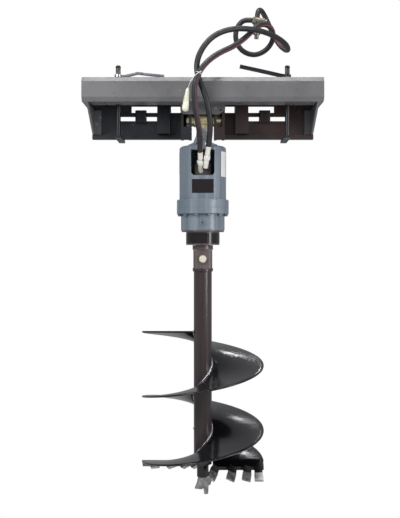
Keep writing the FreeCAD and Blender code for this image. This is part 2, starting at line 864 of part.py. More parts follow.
def flight(turns, start_angle):
    """Right-hand helicoid from the stem to the flight radius; the start angle is its lower end."""
    count = round(turns * 360 / flight_step)
    sections = []
    for i in range(count + 1):
        share = i * turns / count
        angle = math.radians(start_angle) + 2 * math.pi * share
        across = V(math.cos(angle), math.sin(angle), 0)
        low = V(0, drive_y, flight_low + flight_pitch * share - flight_thick)
        rise = V(0, 0, flight_thick)
        inner = low.add(across * (stem_r + weld_gap))
        outer = low.add(across * flight_r)
        sections.append([inner, outer, outer.add(rise), inner.add(rise)])
    faces = [face_of(sections[0]), face_of(sections[-1])]
    for a, b in zip(sections, sections[1:]):
        for k in range(4):
            n = (k + 1) % 4
            faces.append(face_of([a[k], a[n], b[n]]))
            faces.append(face_of([a[k], b[n], b[k]]))
    shell = Part.makeShell(faces)
    shell.sewShape()
    blade = Part.Solid(shell)
    if blade.Volume < 0:
        blade.reverse()
    return blade


def cutting_edge():
    """Sloping bar on the lower end of a flight, leading towards -Y."""
    z = flight_low
    bar = slab_x([(0, z), (0, z - 17), (-31, z - 41), (-31, z - 24)], stem_r + 4, flight_r - 2)
    return bar


def leaning(profile, wide, places):
    """Copies of a (y, z) profile at each radius, each turned inwards below by its lean."""
    pieces = []
    for radius, lean in places:
        piece = slab_x(profile, radius - wide / 2, radius + wide / 2)
        pieces.append(piece.rotated(V(radius, 0, flight_low - 22), V(0, 1, 0), lean))
    return pieces


def holders(places):
    z = flight_low
    return leaning([(-31, z - 20), (-31, z - 42), (-70, z - 58), (-76, z - 38)], holder_wide, places)


def cutters(places):
    """Chisel teeth on the front of their holders."""
    z = flight_low
    return leaning([(-76, z - 38), (-70, z - 58), (-104, z - 74), (-110, z - 66)], tooth_wide, places)


def both_sides(make):
    """Pieces for the right cutting edge, and for the left one turned half round."""
    right = [on_axis(s) for s in make(right_teeth)]
    left = [on_axis(s.rotated(V(0, 0, 0), V(0, 0, 1), 180)) for s in make(left_teeth)]
    return right + left


def pilot_holder():
    """Stepped plug in the end of the stem."""
    plug_r = stem_r - stem_wall - 0.1
    cup = rod(plug_r, V(0, 0, stem_low), V(0, 0, stem_low + 30))
    neck = rod(pilot_holder_d / 2, V(0, 0, pilot_holder_low), V(0, 0, stem_low))
    return on_axis(neck.fuse(cup).removeSplitter())


def pilot_bit():
    """Fishtail point with one prong lower than the other."""
    z = pilot_holder_low
    prongs = [(-21, z), (-30, z - 34), (-40, z - 58), (-8, z - 64), (4, z - 58), (8, pilot_low), (26, pilot_low),
              (28, z - 48), (38, z - 44), (46, z - 18), (26, z - 14), (21, z)]
    blade = slab_y(prongs, -pilot_thick / 2, pilot_thick / 2)
    return on_axis(blade.rotated(V(0, 0, 0), V(0, 0, 1), 15))


save("auger_stem", auger_stem())
save("main_flight", flight(flight_turns, 180))
save("second_flight", flight(second_turn / 360, 0))
edge = cutting_edge()
save("cutting_edges", group([on_axis(edge), on_axis(edge.rotated(V(0, 0, 0), V(0, 0, 1), 180))]))
save("tooth_holders", group(both_sides(holders)))
save("cutter_teeth", group(both_sides(cutters)))
save("pilot_holder", pilot_holder())
save("pilot_bit", pilot_bit())


# ---------------------------------------------------------------- hoses and what is on them
left_route = [
    (-12, -222, -204), (-13, -250, -167), (-16, -280, -110), (-29, -304, -49), (-38, -320, 13),
    (-40, -332, 66), (-32, -338, 116), (-6, -330, 169), (33, -300, 217), (85, -252, 263),
    (141, -200, 300), (188, -152, 343), (229, -106, 389), (262, -58, 438), (306, -8, 470),
    (346, 46, 472), (369, 98, 449), (363, 140, 411), (328, 164, 375), (276, 172, 356),
    (220, 168, 369), (181, 160, 408), (170, 150, 461), (186, 140, 508), (221, 130, 535),
    (262, 121, 526),
]
right_route = [
    (27, -234, -179), (33, -258, -135), (35, -280, -82), (29, -296, -24), (17, -303, 33),
    (-3, -302, 87), (-22, -298, 134), (-30, -292, 184), (-21, -280, 236), (4, -262, 288),
    (43, -238, 338), (96, -206, 375), (155, -176, 396), (214, -144, 405), (273, -104, 409),
    (330, -54, 407), (385, 0, 398), (430, 60, 384), (449, 122, 372), (441, 182, 385),
    (415, 236, 425), (388, 275, 483), (366, 294, 544), (342, 286, 594), (318, 254, 621),
    (300, 222, 614), (291, 202, 580), (290, 209, 541),
]


def hose_path(points):
    """Straight runs joined by arcs that are as large as their two runs allow."""
    corners = [V(*p) for p in points]
    edges = []
    radii = []
    start = corners[0]
    for before, corner, after in zip(corners, corners[1:], corners[2:]):
        a = before.sub(corner)
        b = after.sub(corner)
        reach = 0.45 * min(a.Length, b.Length)
        half_turn = (math.pi - a.getAngle(b)) / 2
        radius = reach / math.tan(half_turn)
        a.normalize()
        b.normalize()
        enter = corner.add(a * reach)
        leave = corner.add(b * reach)
        inward = a.add(b).normalize()
        centre = corner.add(inward * (radius / math.cos(half_turn)))
        middle = centre.sub(inward * radius)
        edges.append(Part.LineSegment(start, enter).toShape())
        edges.append(Part.Arc(enter, middle, leave).toShape())
        radii.append(radius)
        start = leave
    edges.append(Part.LineSegment(start, corners[-1]).toShape())
    return Part.Wire(edges), radii


def hose(points):
    wire, radii = hose_path(points)
    first = V(*points[1]).sub(V(*points[0]))
    section = Part.Wire(Part.makeCircle(hose_d / 2, V(*points[0]), first))
    tube = wire.makePipeShell([section], True, False)
    expected = math.pi * hose_d ** 2 / 4 * wire.Length
    print("hose length", round(wire.Length), "volume ratio", round(tube.Volume / expected, 4),
          "smallest radii", [round(r) for r in sorted(radii)[:4]])
    return tube


def split_hose(route, after):
    """The hose as two tubes that meet face to face in the middle of a run."""
    a, b = route[after], route[after + 1]
    middle = tuple((p + q) / 2 for p, q in zip(a, b))
    return hose(route[:after + 1] + [middle]), hose([middle] + route[after + 1:])


def along(shape, start, direction):
    """Places a shape that was drawn upwards from the origin so that it starts at a point."""
    turn = FreeCAD.Rotation(V(0, 0, 1), direction)
    placed = shape.copy()
    placed.Placement = FreeCAD.Placement(start, turn)
    return placed


def end_of(route, at_start):
    """A hose's end point and the direction in which the hose leaves there."""
    end, inner = (route[0], route[1]) if at_start else (route[-1], route[-2])
    return V(*end), V(*end).sub(V(*inner)).normalize()


def ferrule():
    """Crimped sleeve and the neck that the swivel nut turns on."""
    r = ferrule_d / 2
    return turned([(0, 0), (r, 0), (r, 42), (r - 3, 42), (r - 3, 50), (0, 50)])


def port_fitting():
    """Swivel nut and the adapter that screws into the port."""
    nut = slab_z(hexagon(fitting_d), 50, 68)
    adapter = rod(fitting_d / 2 - 3, V(0, 0, 68), V(0, 0, 112))
    return nut.fuse(adapter)


def coupler(nose_r, nose_long, socket_r=0.0):
    """Quick coupler: hexagon, knurled sleeve and nose."""
    r = coupler_d / 2
    end = slab_z(hexagon(coupler_d - 4), 0, 20)
    sleeve = turned([(0, 20), (r, 20), (r, 38), (r - 2, 38), (r - 2, 43), (r, 43), (r, 63), (0, 63)])
    nose = rod(nose_r, V(0, 0, 63), V(0, 0, 63 + nose_long))
    shape = end.fuse([sleeve, nose]).removeSplitter()
    if socket_r:
        shape = shape.cut(rod(socket_r, V(0, 0, 40), V(0, 0, 64 + nose_long)))
    return shape


def document_sleeve():
    """Rolled sheet in a plastic sleeve, tied to the left hose."""
    direction = sleeve_foot.sub(sleeve_top)
    roll = rod(sleeve_r, V(0, 0, 0), V(0, 0, direction.Length))
    return along(roll, sleeve_top, direction)


def cable_tie():
    """Nylon tie: a band round the left hose and its tail to the sleeve."""
    low, high = V(*left_route[6]), V(*left_route[7])
    middle = (low + high) * 0.5
    run = high.sub(low)
    band = along(rod(hose_d / 2 + tie_thick, V(0, 0, -tie_wide / 2), V(0, 0, tie_wide / 2)), middle, run)
    reach = sleeve_top.sub(middle)
    across = reach.sub(run * (reach.dot(run) / run.dot(run)))
    across.normalize()
    knot = middle.add(across * (hose_d / 2 + tie_thick / 2))
    tail = rod(tie_thick, knot, sleeve_top.add(sleeve_top.sub(knot) * 0.05))
    core = along(rod(hose_d / 2 + tie_gap, V(0, 0, -30), V(0, 0, 30)), middle, run)
    return band.fuse(tail).cut(core).cut(document_sleeve())


sleeve_top = V(-68, -322, 78)
sleeve_foot = V(-84, -312, -30)
sleeve_r = 17.0
tie_thick = 2.0
tie_gap = 0.5
tie_wide = 5.0


block = motor_port_block()
fittings = []
sleeves = []
for route in (left_route, right_route):
    start, back = end_of(route, True)
    sleeves.append(along(ferrule(), start, back))
    fittings.append(along(port_fitting(), start, back).cut(block))
save("hose_ferrules", group(sleeves))
save("port_fittings", group(fittings))
for name, route in (("left", left_route), ("right", right_route)):
    lower, upper = split_hose(route, 1)
    save("hose_" + name + "_lower", lower)
    save("hose_" + name + "_upper", upper)
start, out = end_of(left_route, False)
save("coupler_female", along(coupler(15.0, 14.0, nipple_r + 0.2), start, out))
start, out = end_of(right_route, False)
save("coupler_male", along(coupler(nipple_r, 22.0), start, out))
save("document_sleeve", document_sleeve())
save("cable_tie", cable_tie())
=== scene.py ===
import math

import bpy
from mathutils import Matrix, Vector, noise


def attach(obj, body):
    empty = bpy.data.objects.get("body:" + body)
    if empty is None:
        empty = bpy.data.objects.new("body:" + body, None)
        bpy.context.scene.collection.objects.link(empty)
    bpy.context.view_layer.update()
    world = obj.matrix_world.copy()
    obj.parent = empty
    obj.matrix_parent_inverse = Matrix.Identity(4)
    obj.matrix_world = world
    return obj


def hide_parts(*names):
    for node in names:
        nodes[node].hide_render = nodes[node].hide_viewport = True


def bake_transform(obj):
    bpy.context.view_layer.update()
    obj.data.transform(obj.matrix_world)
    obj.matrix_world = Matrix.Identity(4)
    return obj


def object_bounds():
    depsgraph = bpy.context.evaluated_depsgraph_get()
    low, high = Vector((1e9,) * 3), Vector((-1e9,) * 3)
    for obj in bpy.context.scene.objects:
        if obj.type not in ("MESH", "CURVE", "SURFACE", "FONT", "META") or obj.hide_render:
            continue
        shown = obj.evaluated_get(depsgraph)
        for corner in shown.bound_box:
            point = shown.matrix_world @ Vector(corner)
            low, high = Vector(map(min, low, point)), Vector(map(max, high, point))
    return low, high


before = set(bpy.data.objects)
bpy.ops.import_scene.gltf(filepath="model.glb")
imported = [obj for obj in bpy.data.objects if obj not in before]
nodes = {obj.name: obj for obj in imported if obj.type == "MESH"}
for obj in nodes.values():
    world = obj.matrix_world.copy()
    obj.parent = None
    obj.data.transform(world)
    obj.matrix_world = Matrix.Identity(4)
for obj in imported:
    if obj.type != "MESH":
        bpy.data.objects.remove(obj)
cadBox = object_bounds()
scene = bpy.context.scene
print("frame loaded")

# ------------------------------------------------------------ camera
view = {"distance": 3.73, "height": -0.654, "lens": 51.15, "shiftX": -0.0054, "shiftY": -0.0251}
cameraData = bpy.data.cameras.new("camera")
cameraData.lens = view["lens"]
cameraData.sensor_width = 36.0
cameraData.shift_x = view["shiftX"]
cameraData.shift_y = view["shiftY"]
cameraData.clip_end = 60.0
camera = bpy.data.objects.new("camera", cameraData)
camera.location = (0.0, -view["distance"], view["height"])
camera.rotation_euler = (math.radians(90), 0, 0)
scene.collection.objects.link(camera)
scene.camera = camera


def addMesh(name, points, faces, body, smooth=True):
    mesh = bpy.data.meshes.new(name)
    mesh.from_pydata([tuple(p) for p in points], [], faces)
    mesh.update()
    for polygon in mesh.polygons:
        polygon.use_smooth = smooth
    piece = bpy.data.objects.new(name, mesh)
    scene.collection.objects.link(piece)
    if body:
        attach(piece, body)
    return piece


# ------------------------------------------------------------ hoses
hoseSizes = {"diameter": 0.027, "sides": 20, "resolution": 10}
# Control points from the port fitting to the quick coupler.
leftRoute = [
    (-0.012, -0.222, -0.204), (-0.013, -0.250, -0.167), (-0.016, -0.280, -0.110),
    (-0.029, -0.304, -0.049), (-0.038, -0.320, 0.013), (-0.040, -0.332, 0.066),
    (-0.032, -0.338, 0.116), (-0.006, -0.330, 0.169), (0.033, -0.300, 0.217),
    (0.085, -0.252, 0.263), (0.141, -0.200, 0.300), (0.188, -0.152, 0.343), (0.229, -0.106, 0.389),
    (0.262, -0.058, 0.438), (0.306, -0.008, 0.470), (0.346, 0.046, 0.472), (0.369, 0.098, 0.449),
    (0.363, 0.140, 0.411), (0.328, 0.164, 0.375), (0.276, 0.172, 0.356), (0.220, 0.168, 0.369),
    (0.181, 0.160, 0.408), (0.170, 0.150, 0.461), (0.186, 0.140, 0.508), (0.221, 0.130, 0.535),
    (0.262, 0.121, 0.526),
]
rightRoute = [
    (0.027, -0.234, -0.179), (0.033, -0.258, -0.135), (0.035, -0.280, -0.082),
    (0.029, -0.296, -0.024), (0.017, -0.303, 0.033), (-0.003, -0.302, 0.087),
    (-0.022, -0.298, 0.134), (-0.030, -0.292, 0.184), (-0.021, -0.280, 0.236),
    (0.004, -0.262, 0.288), (0.043, -0.238, 0.338), (0.096, -0.206, 0.375), (0.155, -0.176, 0.396),
    (0.214, -0.144, 0.405), (0.273, -0.104, 0.409), (0.330, -0.054, 0.407), (0.385, 0.000, 0.398),
    (0.430, 0.060, 0.384), (0.449, 0.122, 0.372), (0.441, 0.182, 0.385), (0.415, 0.236, 0.425),
    (0.388, 0.275, 0.483), (0.366, 0.294, 0.544), (0.342, 0.286, 0.594), (0.318, 0.254, 0.621),
    (0.300, 0.222, 0.614), (0.291, 0.202, 0.580), (0.290, 0.209, 0.541),
]


def splineLine(points):
    curve = bpy.data.curves.new("route", "CURVE")
    curve.dimensions = "3D"
    curve.resolution_u = hoseSizes["resolution"]
    spline = curve.splines.new("NURBS")
    spline.points.add(len(points) - 1)
    for knot, point in zip(spline.points, points):
        knot.co = (*point, 1.0)
    spline.order_u = 3
    spline.use_endpoint_u = True
    holder = bpy.data.objects.new("route", curve)
    scene.collection.objects.link(holder)
    bpy.context.view_layer.update()
    mesh = bpy.data.meshes.new_from_object(holder)
    line = [v.co.copy() for v in mesh.vertices]
    bpy.data.objects.remove(holder)
    return line


def lineLength(line):
    return sum((b - a).length for a, b in zip(line, line[1:]))


# A closed tube along a line; its UV map holds the length along it and the turn round it.
def addTube(name, line, radius, sides, body=None, up=Vector((1, 0, 0))):
    points, faces, along = [], [], [0.0]
    for a, b in zip(line, line[1:]):
        along.append(along[-1] + (b - a).length)
    side = None
    for i, centre in enumerate(line):
        ahead = (line[min(i + 1, len(line) - 1)] - line[max(i - 1, 0)]).normalized()
        if side is None:
            side = up
        side = (side - ahead * side.dot(ahead)).normalized()
        third = ahead.cross(side)
        size = radius(along[i] / along[-1]) if callable(radius) else radius
        for k in range(sides):
            turn = 2 * math.pi * k / sides
            points.append(centre + side * (math.cos(turn) * size) + third * (math.sin(turn) * size))
    for i in range(len(line) - 1):
        for k in range(sides):
            n = (k + 1) % sides
            faces.append((i * sides + k, i * sides + n, (i + 1) * sides + n, (i + 1) * sides + k))
    faces.append(tuple(range(sides))[::-1])
    faces.append(tuple(range((len(line) - 1) * sides, len(line) * sides)))
    piece = addMesh(name, points, faces, body)
    layer = piece.data.uv_layers.new(name="route")
    for polygon in piece.data.polygons:
        ring = [piece.data.loops[k].vertex_index % sides for k in polygon.loop_indices]
        wraps = max(ring) - min(ring) > 1 and len(ring) == 4
        for k, place in zip(polygon.loop_indices, ring):
            index = piece.data.loops[k].vertex_index
            turn = 1.0 if wraps and place == 0 else place / sides
            layer.data[k].uv = (along[index // sides], turn)
    return piece


def halfway(a, b):
    return tuple((p + q) / 2 for p, q in zip(a, b))


splitAt = 2
hoses = {}
for name, route in (("left", leftRoute), ("right", rightRoute)):
    middle = halfway(route[splitAt - 1], route[splitAt])
    lowerLine = splineLine(route[:splitAt] + [middle])
    upperLine = splineLine([middle] + route[splitAt:])
    lower = addTube(name + "HoseLower", lowerLine, hoseSizes["diameter"] / 2, hoseSizes["sides"])
    upper = addTube(name + "HoseUpper", upperLine, hoseSizes["diameter"] / 2, hoseSizes["sides"])
    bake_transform(lower)
    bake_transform(upper)
    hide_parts("hose_" + name + "_lower")
    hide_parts("hose_" + name + "_upper")
    hoses[name] = (lower, upper)
    print(name, "hose", round(lineLength(lowerLine) + lineLength(upperLine), 3))

# ------------------------------------------------------------ materials
def linear(hexText):
    values = [int(hexText[i:i + 2], 16) / 255 for i in (1, 3, 5)]
    return tuple(v / 12.92 if v <= 0.04045 else ((v + 0.055) / 1.055) ** 2.4 for v in values) + (1.0,)


# Adds a node; settings with a capital or a number are sockets, the others are the node's options.
def addNode(tree, kind, settings=None, links=None):
    node = tree.nodes.new("ShaderNode" + kind)
    for key, value in (settings or {}).items():
        if isinstance(key, int) or key[0].isupper():
            node.inputs[key].default_value = value
        else:
            setattr(node, key, value)
    for key, source in (links or {}).items():
        tree.links.new(source, node.inputs[key])
    return node


def addNoise(tree, place, scale, detail=4.0, roughness=0.55):
    return addNode(tree, "TexNoise", {"Scale": scale, "Detail": detail, "Roughness": roughness},
                   {"Vector": place}).outputs["Fac"]


def addRamp(tree, value, low, high, fromValue=0.0, toValue=1.0):
    return addNode(tree, "MapRange", {"From Min": low, "From Max": high, "To Min": fromValue,
                                      "To Max": toValue}, {"Value": value}).outputs["Result"]


def addMix(tree, share, a, b):
    node = addNode(tree, "Mix", {"data_type": "RGBA"}, {0: share})
    for socket, colour in ((6, a), (7, b)):
        if isinstance(colour, tuple):
            node.inputs[socket].default_value = colour
        else:
            tree.links.new(colour, node.inputs[socket])
    return node.outputs[2]


def addMath(tree, operation, a, b):
    node = addNode(tree, "Math", {"operation": operation})
    for socket, value in ((0, a), (1, b)):
        if isinstance(value, (int, float)):
            node.inputs[socket].default_value = value
        else:
            tree.links.new(value, node.inputs[socket])
    return node.outputs[0]


# A finish with two tones of colour, uneven gloss, a fine relief, soft edges and, where asked, bare specks
# or a painted reflection tone on the right-hand half.
def makeFinish(name, base, tone, gloss, relief=(600.0, 0.0001), metal=0.0, patch=6.0, edge=0.0012,
               specks=None, coat=0.0, stretch=(1.0, 1.0, 1.0), right=None):
    material = bpy.data.materials.new(name)
    material.use_nodes = True
    tree = material.node_tree
    shader = tree.nodes["Principled BSDF"]
    place = addNode(tree, "TexCoord").outputs["Object"]
    stretched = addNode(tree, "Mapping", {"Scale": stretch}, {"Vector": place}).outputs["Vector"]
    cloud = addNoise(tree, stretched, patch)
    colour = addMix(tree, addRamp(tree, cloud, 0.35, 0.65), linear(base), linear(tone))
    # Where asked, the right-hand half takes another tone: a painted reflection.
    if right:
        across = addNode(tree, "SeparateXYZ", links={"Vector": place}).outputs["X"]
        colour = addMix(tree, addRamp(tree, across, -0.03, 0.06), colour, linear(right))
    rough = addRamp(tree, addNoise(tree, stretched, patch * 3.1), 0.3, 0.7, gloss[0], gloss[1])
    if specks:
        mark = addRamp(tree, addNoise(tree, place, specks["scale"], 2.0), specks["from"],
                       specks["from"] + 0.02)
        colour = addMix(tree, mark, colour, linear(specks["colour"]))
    tree.links.new(colour, shader.inputs["Base Color"])
    tree.links.new(rough, shader.inputs["Roughness"])
    shader.inputs["Metallic"].default_value = metal
    shader.inputs["Coat Weight"].default_value = coat
    shader.inputs["Coat Roughness"].default_value = 0.08
    grain = addNoise(tree, stretched, relief[0], 3.0)
    rounded = addNode(tree, "Bevel", {"samples": 4, "Radius": edge}).outputs["Normal"]
    bump = addNode(tree, "Bump", {"Strength": 1.0, "Distance": relief[1]}, {"Height": grain, "Normal": rounded})
    tree.links.new(bump.outputs["Normal"], shader.inputs["Normal"])
    return material


finishes = {
    # Mount frame: dark grey satin powder coat with a few pale chips.
    "framePaint": makeFinish("framePaint", "#727274", "#626264", (0.24, 0.4), (900.0, 0.00005), edge=0.003,
                             specks={"scale": 34.0, "from": 0.74, "colour": "#a9a9a6"}),
    # The plate behind the beam: the frame paint darkened as painted shade, with a warmer painted reflection on its
    # right half.
    "platePaintShadeAndReflection": makeFinish("platePaintShadeAndReflection", "#3b3d42", "#2b2d32", (0.28, 0.45), right="#42312f",
                             specks={"scale": 60.0, "from": 0.72, "colour": "#8f8f8c"}),
    # Welded channels and plates in the frame's shade: the frame paint darkened as painted shade, with a browner
    # painted reflection on the right half.
    "framePaintShadeAndReflection": makeFinish("framePaintShadeAndReflection", "#22262c", "#181b20", (0.28, 0.45), right="#36292a"),
    # Drive housing: blue-grey enamel over a casting; its two tones run in vertical bands as painted highlights.
    "housingPaintWithHighlights": makeFinish("housingPaintWithHighlights", "#828d97", "#65707b", (0.2, 0.32), (420.0, 0.0002), patch=24.0,
                               edge=0.003, stretch=(1.0, 1.0, 0.03)),
    # Gear body and nose: the same casting in a browner light grey coat; its two tones run in vertical bands as
    # painted highlights.
    "gearPaintWithHighlights": makeFinish("gearPaintWithHighlights", "#6a5d5b", "#51474a", (0.22, 0.36), (420.0, 0.0002), patch=30.0,
                            edge=0.002, stretch=(1.0, 1.0, 0.05)),
    # Auger: gloss black enamel.
    "augerPaint": makeFinish("augerPaint", "#0d0d10", "#17171b", (0.12, 0.22), (9.0, 0.0012)),
    # Stem pipe: gloss black over mill scale, a little brown; its two tones run in vertical bands as painted
    # highlights.
    "stemPaintWithHighlights": makeFinish("stemPaintWithHighlights", "#443c3a", "#332c2b", (0.16, 0.26), (300.0, 0.0001), patch=36.0,
                            stretch=(1.0, 1.0, 0.04)),
    # Zinc plate, clear.
    "zinc": makeFinish("zinc", "#b9bcbf", "#9a9ea3", (0.22, 0.38), (800.0, 0.00004), metal=1.0, patch=30.0),
    # Yellow chromate zinc plate.
    "yellowZinc": makeFinish("yellowZinc", "#e6dfba", "#cdbf8a", (0.25, 0.4), (800.0, 0.00002), metal=0.7,
                             patch=40.0),
    # Blackened spring and lever steel.
    "blackSteel": makeFinish("blackSteel", "#26272a", "#34353a", (0.3, 0.45), metal=0.6),
    # Turned and ground steel of pins, gears and bearings.
    "pinSteel": makeFinish("pinSteel", "#c9c9c6", "#a6a6a3", (0.18, 0.3), (900.0, 0.00003), metal=1.0,
                           patch=50.0, stretch=(1.0, 1.0, 12.0)),
    # Bright nickel plate of the crimped ferrules.
    "brightPlate": makeFinish("brightPlate", "#f6f5ee", "#e9e7dc", (0.25, 0.35), (900.0, 0.00001), metal=0.15,
                              patch=20.0),
    # Zinc plate of the pin through the hub, dull and pale.
    "palePlate": makeFinish("palePlate", "#eeeada", "#dcd7c2", (0.35, 0.45), (900.0, 0.00001), metal=0.15),
    # Dull nickel plate of the quick couplers.
    "couplerSteel": makeFinish("couplerSteel", "#8b877a", "#5d5a50", (0.3, 0.45), (800.0, 0.00004), metal=0.9,
                               patch=40.0),
    # Cast motor, painted grey-brown.
    "motorPaint": makeFinish("motorPaint", "#5a524b", "#443d38", (0.35, 0.5), (300.0, 0.0003)),
    # Cast and ground tool steel of the teeth.
    "toothSteel": makeFinish("toothSteel", "#a8a8a6", "#767472", (0.25, 0.4), (300.0, 0.0002), metal=0.9,
                             patch=40.0),
    # Synthetic rubber hose cover.
    "hoseRubber": makeFinish("hoseRubber", "#1b1b1d", "#29292c", (0.38, 0.55), (1400.0, 0.00008), patch=25.0,
                             edge=0.0004),
    "sealRubber": makeFinish("sealRubber", "#121212", "#1c1c1c", (0.5, 0.65)),
    # Gloss black film of the bare label places.
    "labelFilm": makeFinish("labelFilm", "#191516", "#241c1c", (0.12, 0.2), (900.0, 0.00002)),
    # Clear film over rolled paper.
    "sleeveFilm": makeFinish("sleeveFilm", "#e9e7d2", "#cfcdb6", (0.14, 0.3), (120.0, 0.0012), patch=18.0,
                             coat=0.6),
    "tieNylon": makeFinish("tieNylon", "#f2f2ee", "#dcdcd8", (0.3, 0.4)),
    # Drawn spring wire, lightly oiled.
    "springSteel": makeFinish("springSteel", "#8f8b84", "#5f5c57", (0.25, 0.4), (900.0, 0.00003), metal=0.9,
                              patch=60.0),
    # Blank printed films.
    "whiteFilm": makeFinish("whiteFilm", "#eeeeee", "#e2e2e2", (0.15, 0.25), (900.0, 0.00001)),
    "yellowFilm": makeFinish("yellowFilm", "#d9d39a", "#c8c285", (0.2, 0.3), (900.0, 0.00001)),
    # Weld under gloss paint: dark grey with bright patches as painted glints.
    "weldPaintedGlints": makeFinish("weldPaintedGlints", "#4a4a52", "#d4d4de", (0.08, 0.2), (500.0, 0.0003),
                                 metal=0.6, patch=70.0),
    # Lay line of the hose.
    "stripeRed": makeFinish("stripeRed", "#a5545a", "#8a4449", (0.45, 0.6), (1400.0, 0.00004), patch=90.0),
    # Weld metal under the coat, in lighter patches as painted highlights.
    "weldPaintedHighlights": makeFinish("weldPaintedHighlights", "#6a6462", "#3c3836", (0.25, 0.45), (350.0, 0.0004), metal=0.5,
                           patch=60.0),
}
wearing = {
    "framePaint": ["top_beam", "beam_caps", "side_plate_left", "side_plate_right", "hanger_cover"],
    # The coupler plate wears the frame paint darkened as painted shade.
    "platePaintShadeAndReflection": ["coupler_plate"],
    # Rails, stiffeners, lugs and ears wear the frame paint darkened as painted shade.
    "framePaintShadeAndReflection": ["bottom_rails", "stiffeners", "stop_lugs", "hanger_ear_left", "hanger_ear_right"],
    "housingPaintWithHighlights": ["drive_housing", "drive_yoke", "flange_bolts", "ring_gear_housing", "oil_plug"],
    "gearPaintWithHighlights": ["output_housing", "auger_hub", "output_shaft"],
    "augerPaint": ["main_flight", "second_flight", "cutting_edges", "tooth_holders", "pilot_holder"],
    "stemPaintWithHighlights": ["auger_stem"],
    "zinc": ["lock_lever_left", "hub_clip"],
    "couplerSteel": ["coupler_male", "coupler_female"],
    "yellowZinc": ["upper_pin", "pin_nut", "pin_collars", "swivel_link"],
    "blackSteel": ["lock_lever_right", "lock_rod_left", "lock_rod_right"],
    "pinSteel": ["lower_pin", "sun_gear", "planet_gear_1", "planet_gear_2",
                 "planet_gear_3", "planet_carrier", "output_bearings"],
    "brightPlate": ["hose_ferrules", "port_fittings"],
    "palePlate": ["hub_pin"],
    "motorPaint": ["motor_port_block", "motor_gerotor", "motor_flange"],
    "toothSteel": ["cutter_teeth", "pilot_bit"],
    "sealRubber": ["shaft_seal"],
    "labelFilm": ["label_plate"],
    "sleeveFilm": ["document_sleeve"],
    "tieNylon": ["cable_tie"],
}


def wear(piece, finish):
    piece.data.materials.clear()
    piece.data.materials.append(finishes[finish])
    return piece


for finish, names in wearing.items():
    for nodeName in names:
        wear(nodes[nodeName], finish)


# The side of a ring of the hose that looks along a direction.
def facing(piece, ring, direction):
    sides = hoseSizes["sides"]
    spots = [piece.data.vertices[ring * sides + k].co for k in range(sides)]
    centre = sum(spots, Vector()) / sides
    offsets = [(spots[k] + spots[(k + 1) % sides]) / 2 - centre for k in range(sides)]
    best = max(range(sides), key=lambda k: offsets[k].dot(direction))
    return best, offsets[best]


# A red lay line runs along each hose; it is met at the joint of the two tubes.
def addStripe(name, near, direction):
    lower, upper = hoses[name]
    sides = hoseSizes["sides"]
    rings = len(upper.data.vertices) // sides
    ring = min(range(rings), key=lambda i: (upper.data.vertices[i * sides].co - near).length)
    mark, _ = facing(upper, ring, direction)
    start = facing(upper, 0, upper.data.vertices[mark].co - upper.data.vertices[(mark + sides // 2) % sides].co)[1]
    lowerRings = len(lower.data.vertices) // sides
    lowerMark, _ = facing(lower, lowerRings - 1, start)
    for piece, chosen in ((upper, mark), (lower, lowerMark)):
        wear(piece, "hoseRubber")
        piece.data.materials.append(finishes["stripeRed"])
        for polygon in piece.data.polygons:
            if len(polygon.vertices) == 4 and polygon.index % sides == chosen:
                polygon.material_index = 1


addStripe("left", Vector((0.085, -0.252, 0.263)), Vector((0.25, -0.75, -0.6)))
addStripe("right", Vector((0.449, 0.122, 0.372)), Vector((-0.5, -0.8, 0.3)))
print("materials set")

# ------------------------------------------------------------ pieces that stand for plain solids
axisY = -0.1


# Round wire coils between the lever's hub and the washer.
def makeSpring(side):
    coil = {"radius": 0.01075, "wire": 0.00175, "turns": 6.5, "low": 0.1770, "high": 0.2105}
    foot = Vector((side * 0.410, -0.160, 0))
    line = []
    steps = int(coil["turns"] * 20)
    for i in range(steps + 1):
        turn = 2 * math.pi * i / 20
        height = coil["low"] + (coil["high"] - coil["low"]) * i / steps
        line.append(foot + Vector((math.cos(turn) * coil["radius"], math.sin(turn) * coil["radius"], height)))
    name = "left" if side < 0 else "right"
    spring = addTube(name + "Spring", line, coil["wire"], 10, "lock_" + name, Vector((0, 0, 1)))
    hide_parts("lock_spring_" + name)
    wear(spring, "springSteel")


for side in (-1, 1):
    makeSpring(side)


# A smooth helicoid with a rounded rim.
def makeFlight(name, turns, start, node):
    flight = {"inner": 0.0446, "outer": 0.300, "thick": 0.008, "pitch": 0.318, "low": -1.709, "step": 3.0}
    across = 16
    count = round(turns * 360 / flight["step"])
    profile = []
    for i in range(across + 1):
        share = i / across
        radius = flight["inner"] + (flight["outer"] - 0.003 - flight["inner"]) * share
        profile.append((radius, 0.0))
    profile += [(flight["outer"] - 0.0008, -0.0012), (flight["outer"], -0.004), (flight["outer"] - 0.0008, -0.0068)]
    for i in range(across, -1, -1):
        profile.append((profile[i][0], -flight["thick"]))
    points, faces = [], []
    size = len(profile)
    for i in range(count + 1):
        angle = math.radians(start) + 2 * math.pi * turns * i / count
        rise = flight["low"] + flight["pitch"] * turns * i / count
        for radius, height in profile:
            points.append((math.cos(angle) * radius, axisY + math.sin(angle) * radius, rise + height))
    for i in range(count):
        for k in range(size):
            n = (k + 1) % size
            faces.append((i * size + k, i * size + n, (i + 1) * size + n, (i + 1) * size + k))
    faces.append(tuple(range(size))[::-1])
    faces.append(tuple(range(count * size, (count + 1) * size)))
    piece = addMesh(name, points, faces, "auger")
    piece.data.polygons[len(faces) - 1].use_smooth = False
    piece.data.polygons[len(faces) - 2].use_smooth = False
    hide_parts(node)
    wear(piece, "augerPaint")


makeFlight("mainHelix", 2.0, 180.0, "main_flight")
makeFlight("secondHelix", 100.0 / 360.0, 0.0, "second_flight")


